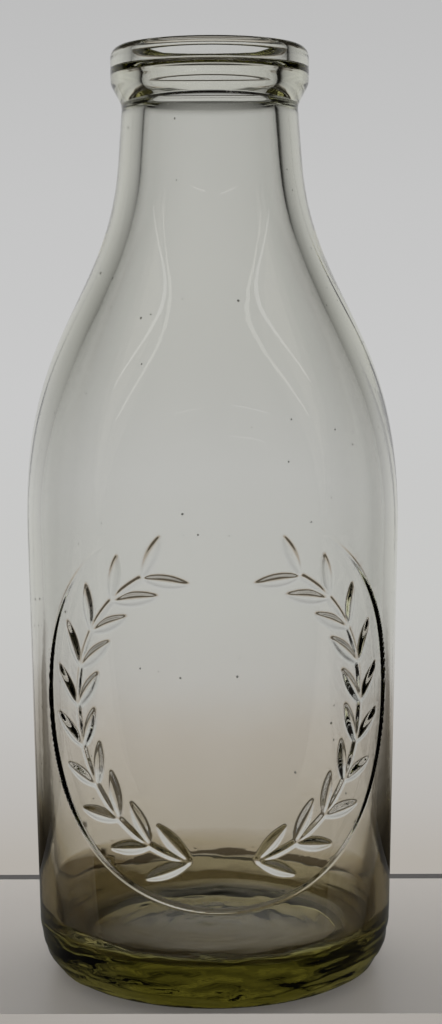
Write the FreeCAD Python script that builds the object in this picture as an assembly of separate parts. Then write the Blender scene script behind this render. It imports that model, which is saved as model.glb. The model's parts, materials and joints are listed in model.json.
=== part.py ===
import FreeCAD
import Part
import math
import os

from FreeCAD import Vector

# A glass milk bottle, in millimetres. It stands on Z = 0 with its axis on Z, and its front, which
# carries the raised circle and the wreath, faces -Y. The glass is one piece, so there is one node.

# Overall sizes
bottle_height = 250.0
body_diameter = 101.0

# Mouth: a lip round a shallow seat, which takes a card disc of 1 5/8 inch
cap_seat_diameter = 41.3
cap_seat_depth = 5.4
seat_corner_round = 0.4
ledge_width = 2.3
ledge_drop = 1.2
ledge_edge_round = 0.4
lip_wall = 5.85
lip_band_height = 10.0
lip_edge_round = 3.2
mouth_edge_round = 1.0

# Throat: it narrows to a waist below the ledge, which overhangs the bore of the neck
throat_draft = 0.4
waist_depth = 11.9
waist_pinch = 2.6
waist_round = 0.4
undercut_drop = 0.8
undercut_round = 0.7

# Neck, below a flared collar
collar_overhang = 3.0
collar_height = 5.6
collar_round = 1.2
neck_length = 14.7
neck_taper = 1.1
neck_wall = 6.1

# Shoulder: how far each end of its curve keeps to the line of the body or of the neck
shoulder_height = 100.0
shoulder_body_run = 56.7
shoulder_neck_run = 38.0
bore_body_run = 50.0
bore_neck_run = 40.0

# Body and heel
body_wall = 3.8
body_taper = 1.95
heel_height = 14.3
heel_width = 8.2

# Base
floor_height = 11.6
floor_dish = 0.8
floor_corner_round = 6.5
foot_width = 3.6
recess_step_width = 3.0
recess_step_height = 1.6
push_up_height = 3.2
flat_centre_radius = 6.0

# Raised circle on the front. Round the bottle, the drawing is a little wider than it is tall
round_stretch = 1.036
circle_radius = 51.3
circle_centre_height = 79.7
circle_ridge_width = 1.6
circle_ridge_height = 0.6

# Raised wreath inside the circle: two sprays that rise from the bottom to the top
wreath_radius = 39.3
leaf_pairs = 10
first_leaf_turn = 12.0
last_leaf_turn = 150.0
leaf_length = 12.5
leaf_width = 3.4
leaf_lean = 36.0
stem_width = 1.8
stem_overlap = 1.3
relief_sink = 0.6

# Mould seams on the two sides
seam_width = 0.6
seam_height = 0.15

# How far relief is rooted in the wall, and the reach of a curve that stands for a quarter round
root_depth = 1.0
quarter_round_pull = 0.5523
circle_points = 48

# Radii and heights that follow
body_radius = body_diameter / 2
heel_radius = body_radius - body_taper
foot_outer_radius = heel_radius - heel_width
foot_inner_radius = foot_outer_radius - foot_width
recess_radius = foot_inner_radius - recess_step_width
seat_radius = cap_seat_diameter / 2
lip_radius = seat_radius + lip_wall
neck_top_radius = lip_radius - collar_overhang
neck_base_radius = neck_top_radius + neck_taper
throat_radius = seat_radius - ledge_width
ledge_height = bottle_height - cap_seat_depth
collar_top_height = bottle_height - lip_band_height
neck_top_height = collar_top_height - collar_height
neck_base_height = neck_top_height - neck_length
body_top_height = neck_base_height - shoulder_height
floor_corner_height = floor_height + floor_corner_round


def at(radius, height):
    """A point of the outline, which lies in the XZ plane."""
    return Vector(radius, 0, height)


def line(start, end):
    return Part.LineSegment(start, end).toShape()


def curve(*poles):
    """A smooth curve from the first pole to the last, drawn towards those between."""
    bezier = Part.BezierCurve()
    bezier.setPoles(list(poles))
    return bezier.toShape()


def cut_corner(corner, towards, distance):
    """The point at a distance from a corner on the way to another point."""
    return corner + (towards - corner).normalize() * distance


def quarter_round(start, corner, end):
    """A quarter circle that rounds a square corner off."""
    centre = start + end - corner
    middle = centre + (corner - centre).normalize() * start.distanceToPoint(centre)
    return Part.Arc(start, middle, end).toShape()


def turned(edges, angle=360):
    """The solid that a closed outline sweeps about the axis of the bottle, with its faces outwards."""
    outline = Part.Face(Part.Wire(Part.sortEdges(edges)[0]))
    solid = outline.revolve(Vector(0, 0, 0), Vector(0, 0, 1), angle)
    if solid.Volume < 0:
        solid.reverse()
    return solid


# Points of the outside, from the foot up to the top of the lip
foot_inner = at(foot_inner_radius, 0)
foot_outer = at(foot_outer_radius, 0)
heel_top = at(heel_radius, heel_height)
body_top = at(body_radius, body_top_height)
neck_base = at(neck_base_radius, neck_base_height)
neck_top = at(neck_top_radius, neck_top_height)
band_bottom = at(lip_radius, collar_top_height)
band_top = at(lip_radius, bottle_height - lip_edge_round)
lip_top_outer = at(lip_radius - lip_edge_round, bottle_height)
neck_end = cut_corner(neck_top, neck_base, collar_round)
collar_start = cut_corner(neck_top, band_bottom, collar_round)
collar_end = cut_corner(band_bottom, neck_top, collar_round)
band_start = cut_corner(band_bottom, band_top, collar_round)

# What one millimetre of height adds to the radius of the body and of the neck
body_slope = Vector(body_taper / (body_top_height - heel_height), 0, 1)
neck_slope = Vector(-neck_taper / neck_length, 0, 1)

# Points of the inside, from the mouth down to the floor
lip_top_inner = at(seat_radius + mouth_edge_round, bottle_height)
seat_top = at(seat_radius, bottle_height - mouth_edge_round)
seat_foot = at(seat_radius, ledge_height)
ledge_end = at(throat_radius, ledge_height - ledge_drop)
seat_bottom = cut_corner(seat_foot, seat_top, seat_corner_round)
ledge_outer = cut_corner(seat_foot, ledge_end, seat_corner_round)
ledge_inner = cut_corner(ledge_end, seat_foot, ledge_edge_round)
throat_top = at(throat_radius, ledge_end.z - ledge_edge_round)
waist = at(throat_radius - waist_pinch, bottle_height - waist_depth)
bore_top = at(neck_top_radius - neck_wall, neck_top_height)
bore_base = at(neck_base_radius - neck_wall, neck_base_height)
throat_pull = at(throat_radius - throat_draft, (throat_top.z + waist.z) / 2)
throat_end = cut_corner(waist, throat_pull, waist_round)
undercut = bore_top + neck_slope * (waist.z - undercut_drop - bore_top.z)
waist_low = cut_corner(waist, undercut, waist_round)
undercut_start = cut_corner(undercut, waist, undercut_round)
undercut_end = cut_corner(undercut, bore_base, undercut_round)
cavity_top = at(body_radius - body_wall, body_top_height)
cavity_bottom = cavity_top - body_slope * (body_top_height - floor_corner_height)
floor_edge = at(cavity_bottom.x - floor_corner_round, floor_height)
floor_flat = at(flat_centre_radius, floor_height - floor_dish)
floor_centre = at(0, floor_height - floor_dish)

# Points of the underside
base_centre = at(0, push_up_height)
base_flat = at(flat_centre_radius, push_up_height)
recess_edge = at(recess_radius, recess_step_height)


def level_curve(inner, outer):
    """An S-curve that is level at both ends."""
    middle_radius = (inner.x + outer.x) / 2
    return curve(inner, at(middle_radius, inner.z), at(middle_radius, outer.z), outer)


def underside():
    return [
        line(base_centre, base_flat),
        curve(base_flat, at((flat_centre_radius + recess_radius) / 2, push_up_height), recess_edge),
        level_curve(recess_edge, foot_inner),
        line(foot_inner, foot_outer),
    ]


def heel():
    foot_pull = at(foot_outer_radius + quarter_round_pull * heel_width, 0)
    body_pull = heel_top - body_slope * (quarter_round_pull * heel_height)
    return curve(foot_outer, foot_pull, body_pull, heel_top)


def side(stand_off):
    """The outside from the heel to the top of the neck, moved out by stand_off."""
    out = Vector(stand_off, 0, 0)
    body_pull = body_top + body_slope * shoulder_body_run
    neck_pull = neck_base - neck_slope * shoulder_neck_run
    shoulder = curve(body_top + out, body_pull + out, neck_pull + out, neck_base + out)
    return [line(heel_top + out, body_top + out), shoulder, line(neck_base + out, neck_end + out)]


def lip():
    return [
        curve(neck_end, neck_top, collar_start),
        line(collar_start, collar_end),
        curve(collar_end, band_bottom, band_start),
        line(band_start, band_top),
        quarter_round(band_top, at(lip_radius, bottle_height), lip_top_outer),
        line(lip_top_outer, lip_top_inner),
    ]


def cap_seat():
    return [
        quarter_round(lip_top_inner, at(seat_radius, bottle_height), seat_top),
        line(seat_top, seat_bottom),
        curve(seat_bottom, seat_foot, ledge_outer),
        line(ledge_outer, ledge_inner),
    ]


def cavity():
    """The inside from the ledge of the cap seat down to the middle of the floor."""
    body_pull = cavity_top + body_slope * bore_body_run
    neck_pull = bore_base - neck_slope * bore_neck_run
    corner_pull = quarter_round_pull * floor_corner_round
    return [
        curve(ledge_inner, ledge_end, throat_top),
        curve(throat_top, throat_pull, throat_end),
        curve(throat_end, waist, waist_low),
        line(waist_low, undercut_start),
        curve(undercut_start, undercut, undercut_end),
        line(undercut_end, bore_base),
        curve(bore_base, neck_pull, body_pull, cavity_top),
        line(cavity_top, cavity_bottom),
        curve(
            cavity_bottom,
            cavity_bottom - body_slope * corner_pull,
            floor_edge + Vector(corner_pull, 0, 0),
            floor_edge,
        ),
        level_curve(floor_edge, floor_flat),
        line(floor_flat, floor_centre),
    ]


def plain_bottle():
    outside = underside() + [heel()] + side(0) + lip()
    inside = cap_seat() + cavity()
    return turned(outside + inside + [line(floor_centre, base_centre)])


def capacity_ml():
    """What the bottle holds up to the cap, which sits on the outer edge of the ledge."""
    brim_centre = at(0, ledge_outer.z)
    brim = [line(floor_centre, brim_centre), line(brim_centre, ledge_outer), line(ledge_outer, ledge_inner)]
    outline = cavity() + brim
    return turned(outline).Volume / 1000


def relief_skin(height, middle_turn, angle):
    """A layer that stands height mm proud of the glass, over an angle either side of middle_turn."""
    outer = side(height)
    inner = side(-root_depth)
    out = Vector(height, 0, 0)
    root = Vector(-root_depth, 0, 0)
    ends = [line(heel_top + root, heel_top + out), line(neck_end + root, neck_end + out)]
    skin = turned(outer + inner + ends, 2 * angle)
    skin.rotate(Vector(0, 0, 0), Vector(0, 0, 1), middle_turn - angle)
    return skin


def side_radius(height):
    """The radius of the outside at a height on the body or the shoulder."""
    if height <= body_top_height:
        return (body_top - body_slope * (body_top_height - height)).x
    shoulder = side(0)[1].Curve
    low, high = 0.0, 1.0
    while high - low > 1e-7:
        middle = (low + high) / 2
        if shoulder.value(middle).z < height:
            low = middle
        else:
            high = middle
    return shoulder.value(low).x


# The front's flat drawing is wrapped round the body at this radius
wrap_radius = side_radius(circle_centre_height)
turn_per_arc = round_stretch / wrap_radius
front_turn = -90.0


def disc_prism(radius):
    """A disc of the flat drawing, wrapped round the body and extended straight out of the front."""
    points = []
    for index in range(circle_points):
        turn = 2 * math.pi * index / circle_points
        across = wrap_radius * math.sin(radius * math.cos(turn) * turn_per_arc)
        points.append(at(across, circle_centre_height + radius * math.sin(turn)))
    outline = Part.BSplineCurve()
    outline.interpolate(points, True)
    return Part.Face(Part.Wire(outline.toShape())).extrude(Vector(0, -body_diameter, 0))


def circle_ridge():
    half_width = circle_ridge_width / 2
    ring = disc_prism(circle_radius + half_width).cut(disc_prism(circle_radius - half_width))
    reach = math.degrees((circle_radius + circle_ridge_width) * turn_per_arc)
    return ring.common(relief_skin(circle_ridge_height, front_turn, reach))


def spindle(length, width, arc, height, heading):
    """A pointed bead, half sunk in the front, at a place and heading of the flat drawing."""
    tip = length / 2
    pull = width * 2 / 3
    meridian = curve(at(-tip, 0), at(-tip / 3, pull), at(tip / 3, pull), at(tip, 0))
    outline = Part.Face(Part.Wire([meridian, line(at(tip, 0), at(-tip, 0))]))
    bead = outline.revolve(Vector(0, 0, 0), Vector(1, 0, 0), 360)
    turn = arc * turn_per_arc
    outward = Vector(math.sin(turn), -math.cos(turn), 0)
    around = Vector(math.cos(turn), math.sin(turn), 0)
    along = around * math.cos(heading) + Vector(0, 0, math.sin(heading))
    place = outward * (side_radius(height) - relief_sink) + Vector(0, 0, height)
    rotation = FreeCAD.Rotation(along, outward.cross(along), outward, "XZY")
    bead.Placement = FreeCAD.Placement(place, rotation)
    return bead


def wreath():
    """Two sprays of paired leaves. A turn is measured round the circle from its bottom."""
    beads = []
    step = math.radians(last_leaf_turn - first_leaf_turn) / (leaf_pairs - 1)
    stem_length = stem_overlap * wreath_radius * step
    for hand in (-1, 1):
        for index in range(leaf_pairs):
            turn = hand * (math.radians(first_leaf_turn) + index * step)
            arc = wreath_radius * math.sin(turn)
            height = circle_centre_height - wreath_radius * math.cos(turn)
            growth = turn if hand > 0 else turn + math.pi
            beads.append(spindle(stem_length, stem_width, arc, height, growth))
            for lean in (-leaf_lean, leaf_lean):
                heading = growth + math.radians(lean)
                leaf_arc = arc + leaf_length / 2 * math.cos(heading)
                leaf_height = height + leaf_length / 2 * math.sin(heading)
                beads.append(spindle(leaf_length, leaf_width, leaf_arc, leaf_height, heading))
    return beads


def mould_seams():
    half_angle = math.degrees(seam_width / 2 / body_radius)
    return [relief_skin(seam_height, middle, half_angle) for middle in (0, 180)]


def main():
    bottle = plain_bottle()
    bottle = bottle.multiFuse([circle_ridge()] + mould_seams() + wreath())
    solids = bottle.Solids
    print("solids", len(solids), "valid", bottle.isValid())
    print("glass", round(bottle.Volume / 1000, 1), "ml, holds", round(capacity_ml(), 1), "ml")
    os.makedirs("parts", exist_ok=True)
    solids[0].exportStep("parts/glass_bottle.step")


main()
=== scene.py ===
# %% [markdown]
# # A glass milk bottle
# This lesson makes the looks of one old milk bottle: clear glass, pressed and blown in a mould, with a
# rolled lip, a seat for a card disc inside the mouth, a long shoulder and a raised circle on the front.
# The construction model comes first, as a fixed frame in metres. Everything made here sits in that frame,
# so no piece needs fitting afterwards.

# %% Load the frame
from functools import partial
import json
import math

import bpy
from mathutils import Matrix, Vector


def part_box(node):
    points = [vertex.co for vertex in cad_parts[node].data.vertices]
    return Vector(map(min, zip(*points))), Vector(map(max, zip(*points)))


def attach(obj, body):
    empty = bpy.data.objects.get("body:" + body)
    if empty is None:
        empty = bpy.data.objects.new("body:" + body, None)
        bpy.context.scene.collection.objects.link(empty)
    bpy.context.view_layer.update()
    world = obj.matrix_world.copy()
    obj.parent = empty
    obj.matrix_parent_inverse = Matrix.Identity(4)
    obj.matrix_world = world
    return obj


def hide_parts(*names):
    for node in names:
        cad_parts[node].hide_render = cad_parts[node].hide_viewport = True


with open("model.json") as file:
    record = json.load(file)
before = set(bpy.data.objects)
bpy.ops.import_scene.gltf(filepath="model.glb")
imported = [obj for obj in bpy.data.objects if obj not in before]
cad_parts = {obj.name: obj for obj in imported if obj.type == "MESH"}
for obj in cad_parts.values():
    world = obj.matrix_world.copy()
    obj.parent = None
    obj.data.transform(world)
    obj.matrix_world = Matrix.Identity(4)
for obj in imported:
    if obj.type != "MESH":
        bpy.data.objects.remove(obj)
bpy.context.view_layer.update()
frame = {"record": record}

scene = bpy.context.scene
mm = 0.001

# %% [markdown]
# ## Sizes
# A bottle is a turned shape, so a list of radii, heights and rounds gives all of it. Those that the
# construction model states are read from it: the height, the seat and the lip. The rest are the same
# sizes, in millimetres, that the construction was drawn with. Only the mould seams are flatter and wider
# here, as worn moulds leave them.

# %% Sizes of the bottle
mounts = {mount["name"]: mount for mount in frame["record"]["mounts"]}
node_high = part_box("glass_bottle")[1]
drawn_seam_height = 0.15
seam_width = 3.0
seam_height = 0.03

bottle_height = node_high.z / mm
body_radius = node_high.x / mm - drawn_seam_height
seat_radius = mounts["cap_seat"]["dims"]["r_mm"]
lip_radius = mounts["lip_outside"]["dims"]["r_mm"]

cap_seat_depth = 5.4
seat_corner_round = 0.4
ledge_width = 2.3
ledge_edge_round = 0.4
ledge_drop = 1.2
lip_band_height = 10.0
lip_edge_round = 3.2
mouth_edge_round = 1.0
throat_draft = 0.4
waist_depth = 11.9
waist_pinch = 2.6
waist_round = 0.4
undercut_drop = 0.8
undercut_round = 0.7
collar_overhang = 3.0
collar_height = 5.6
collar_round = 1.2
neck_length = 14.7
neck_taper = 1.1
neck_wall = 6.1
shoulder_height = 100.0
shoulder_body_run = 56.7
shoulder_neck_run = 38.0
bore_body_run = 50.0
bore_neck_run = 40.0
body_wall = 3.8
body_taper = 1.95
heel_height = 14.3
heel_width = 8.2
floor_height = 11.6
floor_dish = 0.8
floor_corner_round = 6.5
foot_width = 3.6
recess_step_width = 3.0
recess_step_height = 1.6
push_up_height = 3.2
flat_centre_radius = 6.0
quarter_round_pull = 0.5523

throat_radius = seat_radius - ledge_width
ledge_height = bottle_height - cap_seat_depth
band_height = bottle_height - lip_band_height
neck_top_height = band_height - collar_height
neck_base_height = neck_top_height - neck_length
body_top_height = neck_base_height - shoulder_height
neck_top_radius = lip_radius - collar_overhang
neck_base_radius = neck_top_radius + neck_taper
heel_radius = body_radius - body_taper
foot_outer_radius = heel_radius - heel_width
foot_inner_radius = foot_outer_radius - foot_width
recess_radius = foot_inner_radius - recess_step_width
print("neck from", round(neck_base_height, 1), "to", round(neck_top_height, 1), "mm")

# %% [markdown]
# ## The outline as rows
# The glass is drawn as half a section: from the middle of the underside, round the heel, up the outside,
# over the lip and down the inside to the middle of the floor. Each point of that line becomes one row of
# the mesh. Glass shows every facet, so rows are close together on tight curves. Lines, smooth curves and
# quarter rounds are enough, and each is a few lines of Python.

# %% Helpers that draw an outline
def at(radius, height):
    return Vector((radius, 0.0, height))


def line(start, end, steps):
    return [start.lerp(end, step / steps) for step in range(1, steps + 1)]


def curve(poles, steps):
    """Points of a Bezier curve, found by drawing lines between its poles until one point is left."""
    points = []
    for step in range(1, steps + 1):
        left = list(poles)
        while len(left) > 1:
            left = [near.lerp(far, step / steps) for near, far in zip(left, left[1:])]
        points.append(left[0])
    return points


def quarter_round(start, corner, end, steps):
    centre = start + end - corner
    turns = [math.radians(90) * step / steps for step in range(1, steps + 1)]
    return [centre + (start - centre) * math.cos(turn) + (end - centre) * math.sin(turn) for turn in turns]


def level_curve(start, end, steps):
    """An S-curve that is level at both ends."""
    middle = (start.x + end.x) / 2
    return curve([start, at(middle, start.z), at(middle, end.z), end], steps)


def corner_poles(before, corner, after, reach):
    """Poles of a curve that rounds a corner off from a reach before it to the same reach after it."""
    start, end = [corner + (point - corner).normalized() * reach for point in (before, after)]
    return [start, corner, end]


print("drawing helpers ready")

# %% [markdown]
# The side from the heel to the neck needs rows at chosen heights, because the relief on the front wants
# them much closer than the rest. A short search along the shoulder's curve gives the radius at any height.

# %% The side of the bottle
heel_top = at(heel_radius, heel_height)
body_top = at(body_radius, body_top_height)
neck_base = at(neck_base_radius, neck_base_height)
neck_top = at(neck_top_radius, neck_top_height)
body_slope = Vector((body_taper / (body_top_height - heel_height), 0, 1))
neck_slope = Vector((-neck_taper / neck_length, 0, 1))
shoulder_poles = [
    body_top,
    body_top + body_slope * shoulder_body_run,
    neck_base - neck_slope * shoulder_neck_run,
    neck_base,
]
shoulder = [body_top] + curve(shoulder_poles, 400)


def side_radius(height):
    if height <= body_top_height:
        return heel_radius + body_slope.x * (height - heel_height)
    for below, above in zip(shoulder, shoulder[1:]):
        if above.z >= height:
            share = (height - below.z) / (above.z - below.z)
            return below.lerp(above, share).x
    return neck_base_radius


circle_centre_height = 79.7
circle_radius = 51.3
ridge_height = 1.15
ridge_wall = 0.5
ridge_slope = 0.8
relief_margin = 3.8
relief_row_spacing = 0.34
round_stretch = 1.036
relief_low = circle_centre_height - circle_radius - relief_margin
relief_high = circle_centre_height + circle_radius + relief_margin
wrap_radius = side_radius(circle_centre_height) / round_stretch
print("the front drawing is wrapped at a radius of", round(wrap_radius, 2), "mm")

# %% [markdown]
# Each row also carries numbers for the mesh tree: how far the old mould and the blowing made that part
# wavy, how far it is crumpled, whether it is on the outside, whether the raised drawing lies on it, how
# much olive and painted shade it takes, and how much painted brown shade it takes inside or outside. The
# inside was blown, not pressed, so it waves more than the outside. The thick base cooled unevenly, and its
# crumpled faces are what breaks the light up there.

# %% Rows of the outside
weld = 6
plain_row_spacing = 2.0
smooth_heel_rows = 6
heel_crumple = 0.6
outside_wave = 0.06
rows = []


def add_rows(points, drawn=False, **traits):
    """Adds rows. Drawn ones are close together, and plain says which of six a plain place keeps."""
    first = len(rows)
    for index, point in enumerate(points):
        plain_row = first + index - index % weld if drawn else first + index
        rows.append({"point": point, "plain": plain_row, "drawn": float(drawn), **traits})


def side_points(low, high, spacing):
    steps = max(1, round((high - low) / spacing))
    heights = [low + (high - low) * step / steps for step in range(1, steps + 1)]
    return [at(side_radius(height), height) for height in heights]


base_centre = at(0, push_up_height)
base_flat = at(flat_centre_radius, push_up_height)
recess_edge = at(recess_radius, recess_step_height)
foot_inner = at(foot_inner_radius, 0)
foot_outer = at(foot_outer_radius, 0)
foot_pull = at(foot_outer_radius + quarter_round_pull * heel_width, 0)
body_pull = heel_top - body_slope * (quarter_round_pull * heel_height)
recess_pull = at((flat_centre_radius + recess_radius) / 2, push_up_height)

add_rows([base_centre])
# The olive numbers of the underside and heel stand for the glass's own olive and for painted shade.
add_rows(line(base_centre, base_flat, 2), crumple=0.2, olive=0.15)
add_rows(curve([base_flat, recess_pull, recess_edge], 18), crumple=0.4, olive=0.15)
add_rows(level_curve(recess_edge, foot_inner, 6), crumple=0.15, olive=0.6)
add_rows(line(foot_inner, foot_outer, 3), olive=1.0)
heel = curve([foot_outer, foot_pull, body_pull, heel_top], 28)
add_rows(heel[:smooth_heel_rows], olive=1.0)
add_rows(heel[smooth_heel_rows:], crumple=heel_crumple, olive=1.0)
for low, high, spacing, drawn in (
    (heel_height, relief_low, plain_row_spacing, False),
    (relief_low, relief_high, relief_row_spacing, True),
    (relief_high, neck_base_height, plain_row_spacing, False),
):
    add_rows(side_points(low, high, spacing), drawn=drawn, wave=outside_wave, outside=1.0)
print(len(rows), "rows up to the neck")

# %% [markdown]
# The mouth has the tightest curves of all: the collar's two soft corners, the rolled lip, the seat for the
# card disc with its sloping ledge, and the pinched throat that overhangs the bore of the neck.

# %% Rows of the lip and the mouth
band_bottom = at(lip_radius, band_height)
band_top = at(lip_radius, bottle_height - lip_edge_round)
lip_top_outer = at(lip_radius - lip_edge_round, bottle_height)
lip_top_inner = at(seat_radius + mouth_edge_round, bottle_height)
collar_low = corner_poles(neck_base, neck_top, band_bottom, collar_round)
collar_high = corner_poles(neck_top, band_bottom, band_top, collar_round)

seat_top = at(seat_radius, bottle_height - mouth_edge_round)
seat_foot = at(seat_radius, ledge_height)
ledge_end = at(throat_radius, ledge_height - ledge_drop)
seat_corner = corner_poles(seat_top, seat_foot, ledge_end, seat_corner_round)
waist = at(throat_radius - waist_pinch, bottle_height - waist_depth)
throat_top = at(throat_radius, ledge_end.z - ledge_edge_round)
ledge_corner = corner_poles(seat_foot, ledge_end, throat_top, ledge_edge_round)
bore_top = at(neck_top_radius - neck_wall, neck_top_height)
bore_base = at(neck_base_radius - neck_wall, neck_base_height)
throat_pull = at(throat_radius - throat_draft, (throat_top.z + waist.z) / 2)
undercut = bore_top + neck_slope * (waist.z - undercut_drop - bore_top.z)
waist_corner = corner_poles(throat_pull, waist, undercut, waist_round)
undercut_corner = corner_poles(waist, undercut, bore_base, undercut_round)

add_rows(line(neck_base, collar_low[0], 6), wave=outside_wave / 2, outside=1.0)
add_rows(curve(collar_low, 6))
add_rows(line(collar_low[-1], collar_high[0], 3))
add_rows(curve(collar_high, 6))
add_rows(line(collar_high[-1], band_top, 3))
add_rows(quarter_round(band_top, at(lip_radius, bottle_height), lip_top_outer, 9))
add_rows(line(lip_top_outer, lip_top_inner, 2))
add_rows(quarter_round(lip_top_inner, at(seat_radius, bottle_height), seat_top, 5))
add_rows(line(seat_top, seat_corner[0], 4))
add_rows(curve(seat_corner, 5))
add_rows(line(seat_corner[-1], ledge_corner[0], 4))
add_rows(curve(ledge_corner, 5))
add_rows(curve([throat_top, throat_pull, waist_corner[0]], 6))
add_rows(curve(waist_corner, 4))
add_rows(line(waist_corner[-1], undercut_corner[0], 2))
add_rows(curve(undercut_corner, 4))
add_rows(line(undercut_corner[-1], bore_base, 7), wave=outside_wave)
print(len(rows), "rows with the mouth")

# %% [markdown]
# A brown shade is painted inside: thin on the floor, thickest in its corner, and fading out a little way up
# the wall. Outside, a painted brown shade fades out upwards from the heel.

# %% Rows of the inside
shoulder_wave = 0.14
inside_wave = 0.16
# Painted brown shade inside: how high it reaches, how it fades, and how deep it is on wall, corner and
# floor.
inner_shade_height = 7.0
inner_shade_rows = 8
inner_shade_fade = 0.7
wall_inner_shade = 1.4
corner_inner_shade = 1.6
floor_inner_shade = 0.36
outer_shade_height = 38.0

cavity_top = at(body_radius - body_wall, body_top_height)
floor_corner_height = floor_height + floor_corner_round
cavity_bottom = cavity_top - body_slope * (body_top_height - floor_corner_height)
floor_edge = at(cavity_bottom.x - floor_corner_round, floor_height)
floor_flat = at(flat_centre_radius, floor_height - floor_dish)
floor_centre = at(0, floor_height - floor_dish)
corner_reach = quarter_round_pull * floor_corner_round
bore_poles = [
    bore_base,
    bore_base - neck_slope * bore_neck_run,
    cavity_top + body_slope * bore_body_run,
    cavity_top,
]
floor_corner_poles = [
    cavity_bottom,
    cavity_bottom - body_slope * corner_reach,
    floor_edge + at(corner_reach, 0),
    floor_edge,
]
inner_shade_top = cavity_bottom.lerp(cavity_top, inner_shade_height / (cavity_top.z - cavity_bottom.z))

add_rows(curve(bore_poles, 44), wave=shoulder_wave)
add_rows(line(cavity_top, inner_shade_top, 28), wave=inside_wave)
for step, point in enumerate(line(inner_shade_top, cavity_bottom, inner_shade_rows), 1):
    add_rows([point], wave=inside_wave, film=(step / inner_shade_rows) ** inner_shade_fade * wall_inner_shade)
add_rows(curve(floor_corner_poles, 14), wave=inside_wave, crumple=heel_crumple, film=corner_inner_shade)
add_rows(level_curve(floor_edge, floor_flat, 18), crumple=0.25, film=floor_inner_shade)
add_rows(line(floor_flat, floor_centre, 3)[:-1], crumple=0.2, film=floor_inner_shade)
add_rows([floor_centre], film=floor_inner_shade)
# Painted brown shade outside, fading out upwards from the heel.
for entry in rows:
    if entry.get("outside"):
        entry["grime"] = max(0.0, 1 - (entry["point"].z - heel_height) / outer_shade_height)
print(len(rows), "rows in all")

# %% [markdown]
# ## Columns round the axis
# Columns are angles from the front. In front, where the relief is, they are as close as the rows. Behind,
# far fewer are enough, apart from a few extra columns at each mould seam, where the two halves of the
# mould met.

# %% Columns round the axis
front_angle = (circle_radius + relief_margin) / wrap_radius
front_columns = round(2 * front_angle * wrap_radius / relief_row_spacing / weld) * weld
back_columns = 92
seam_angle = math.radians(90)
seam_half = seam_width / 2 / body_radius
seam_clearance = 1.3 * seam_half

columns = [-front_angle + 2 * front_angle * index / front_columns for index in range(front_columns)]
back_sweep = 2 * math.pi - 2 * front_angle
back = [front_angle + back_sweep * index / back_columns for index in range(back_columns + 1)]
seams = [seam_angle, 2 * math.pi - seam_angle]
near_seam = [seam + seam_half * step / 3 for seam in seams for step in range(-3, 4)]
clear = [angle for angle in back if min(abs(angle - seam) for seam in seams) > seam_clearance]
columns = columns + sorted(clear + near_seam)
plain_columns = [index - index % weld if index < front_columns else index for index in range(len(columns))]
print(len(columns), "columns,", front_columns, "of them in front")

# %% Rows and columns as meshes that a node tree can read
def new_object(name, data):
    thing = bpy.data.objects.new(name, data)
    scene.collection.objects.link(thing)
    return thing


def points_object(name, points, **attributes):
    """Loose points with a number each, as an object that Geometry Nodes can sample."""
    mesh = bpy.data.meshes.new(name)
    mesh.from_pydata([tuple(point) for point in points], [], [])
    for label, values in attributes.items():
        layer = mesh.attributes.new(label, "FLOAT", "POINT")
        layer.data.foreach_set("value", [float(value) for value in values])
    return new_object(name, mesh)


row_labels = ("plain", "drawn", "outside", "olive", "film", "grime", "wave", "crumple")
row_points = points_object(
    "outline_rows",
    [entry["point"] * mm for entry in rows],
    **{label: [entry.get(label, 0.0) for entry in rows] for label in row_labels},
)
column_points = points_object("column_angles", [(angle, 0, 0) for angle in columns], plain=plain_columns)
print("row and column points made")

# %% [markdown]
# ## One way to add a node
# Node trees are easier to read when every node is one call: what kind it is, how it is set, and what goes
# into it. A source can be another node, one of its outputs, or a plain value. Most nodes here do sums, so
# a kind in capitals, such as ADD, is a Math node set to that operation.

# %% A helper for node trees
def add_node(tree, kind, sources=(), **settings):
    """Adds a node. Its sources are listed in the order of its sockets, or given by name or number."""
    if kind.isupper():
        settings["operation"] = kind
        kind = "ShaderNodeMath"
    node = tree.nodes.new(kind)
    for name, value in settings.items():
        setattr(node, name, value)
    by_socket = sources if isinstance(sources, dict) else dict(enumerate(sources))
    for name, source in by_socket.items():
        if isinstance(source, bpy.types.Node):
            source = source.outputs[0]
        if isinstance(source, bpy.types.NodeSocket):
            tree.links.new(source, node.inputs[name])
        else:
            node.inputs[name].default_value = source
    return node


print("one call adds any node")

# %% [markdown]
# A geometry tree gets its sizes through named inputs, so they can be changed on the modifier. The kind of
# each input follows from the value that it starts with. Each tree comes with its own short call for adding
# a node to it.

# %% Helpers for geometry trees
input_kinds = {
    float: "NodeSocketFloat",
    int: "NodeSocketInt",
    bpy.types.Object: "NodeSocketObject",
    bpy.types.Material: "NodeSocketMaterial",
}


def new_tree(name, values):
    """A geometry tree with an input for each value.

    Returns the tree, the call that adds a node to it, and its inputs' sockets by name.
    """
    tree = bpy.data.node_groups.new(name, "GeometryNodeTree")
    tree.interface.new_socket("Geometry", in_out="OUTPUT", socket_type="NodeSocketGeometry")
    for label, value in values.items():
        tree.interface.new_socket(label, in_out="INPUT", socket_type=input_kinds[type(value)])
    add_here = partial(add_node, tree)
    return tree, add_here, add_here("NodeGroupInput").outputs


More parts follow.
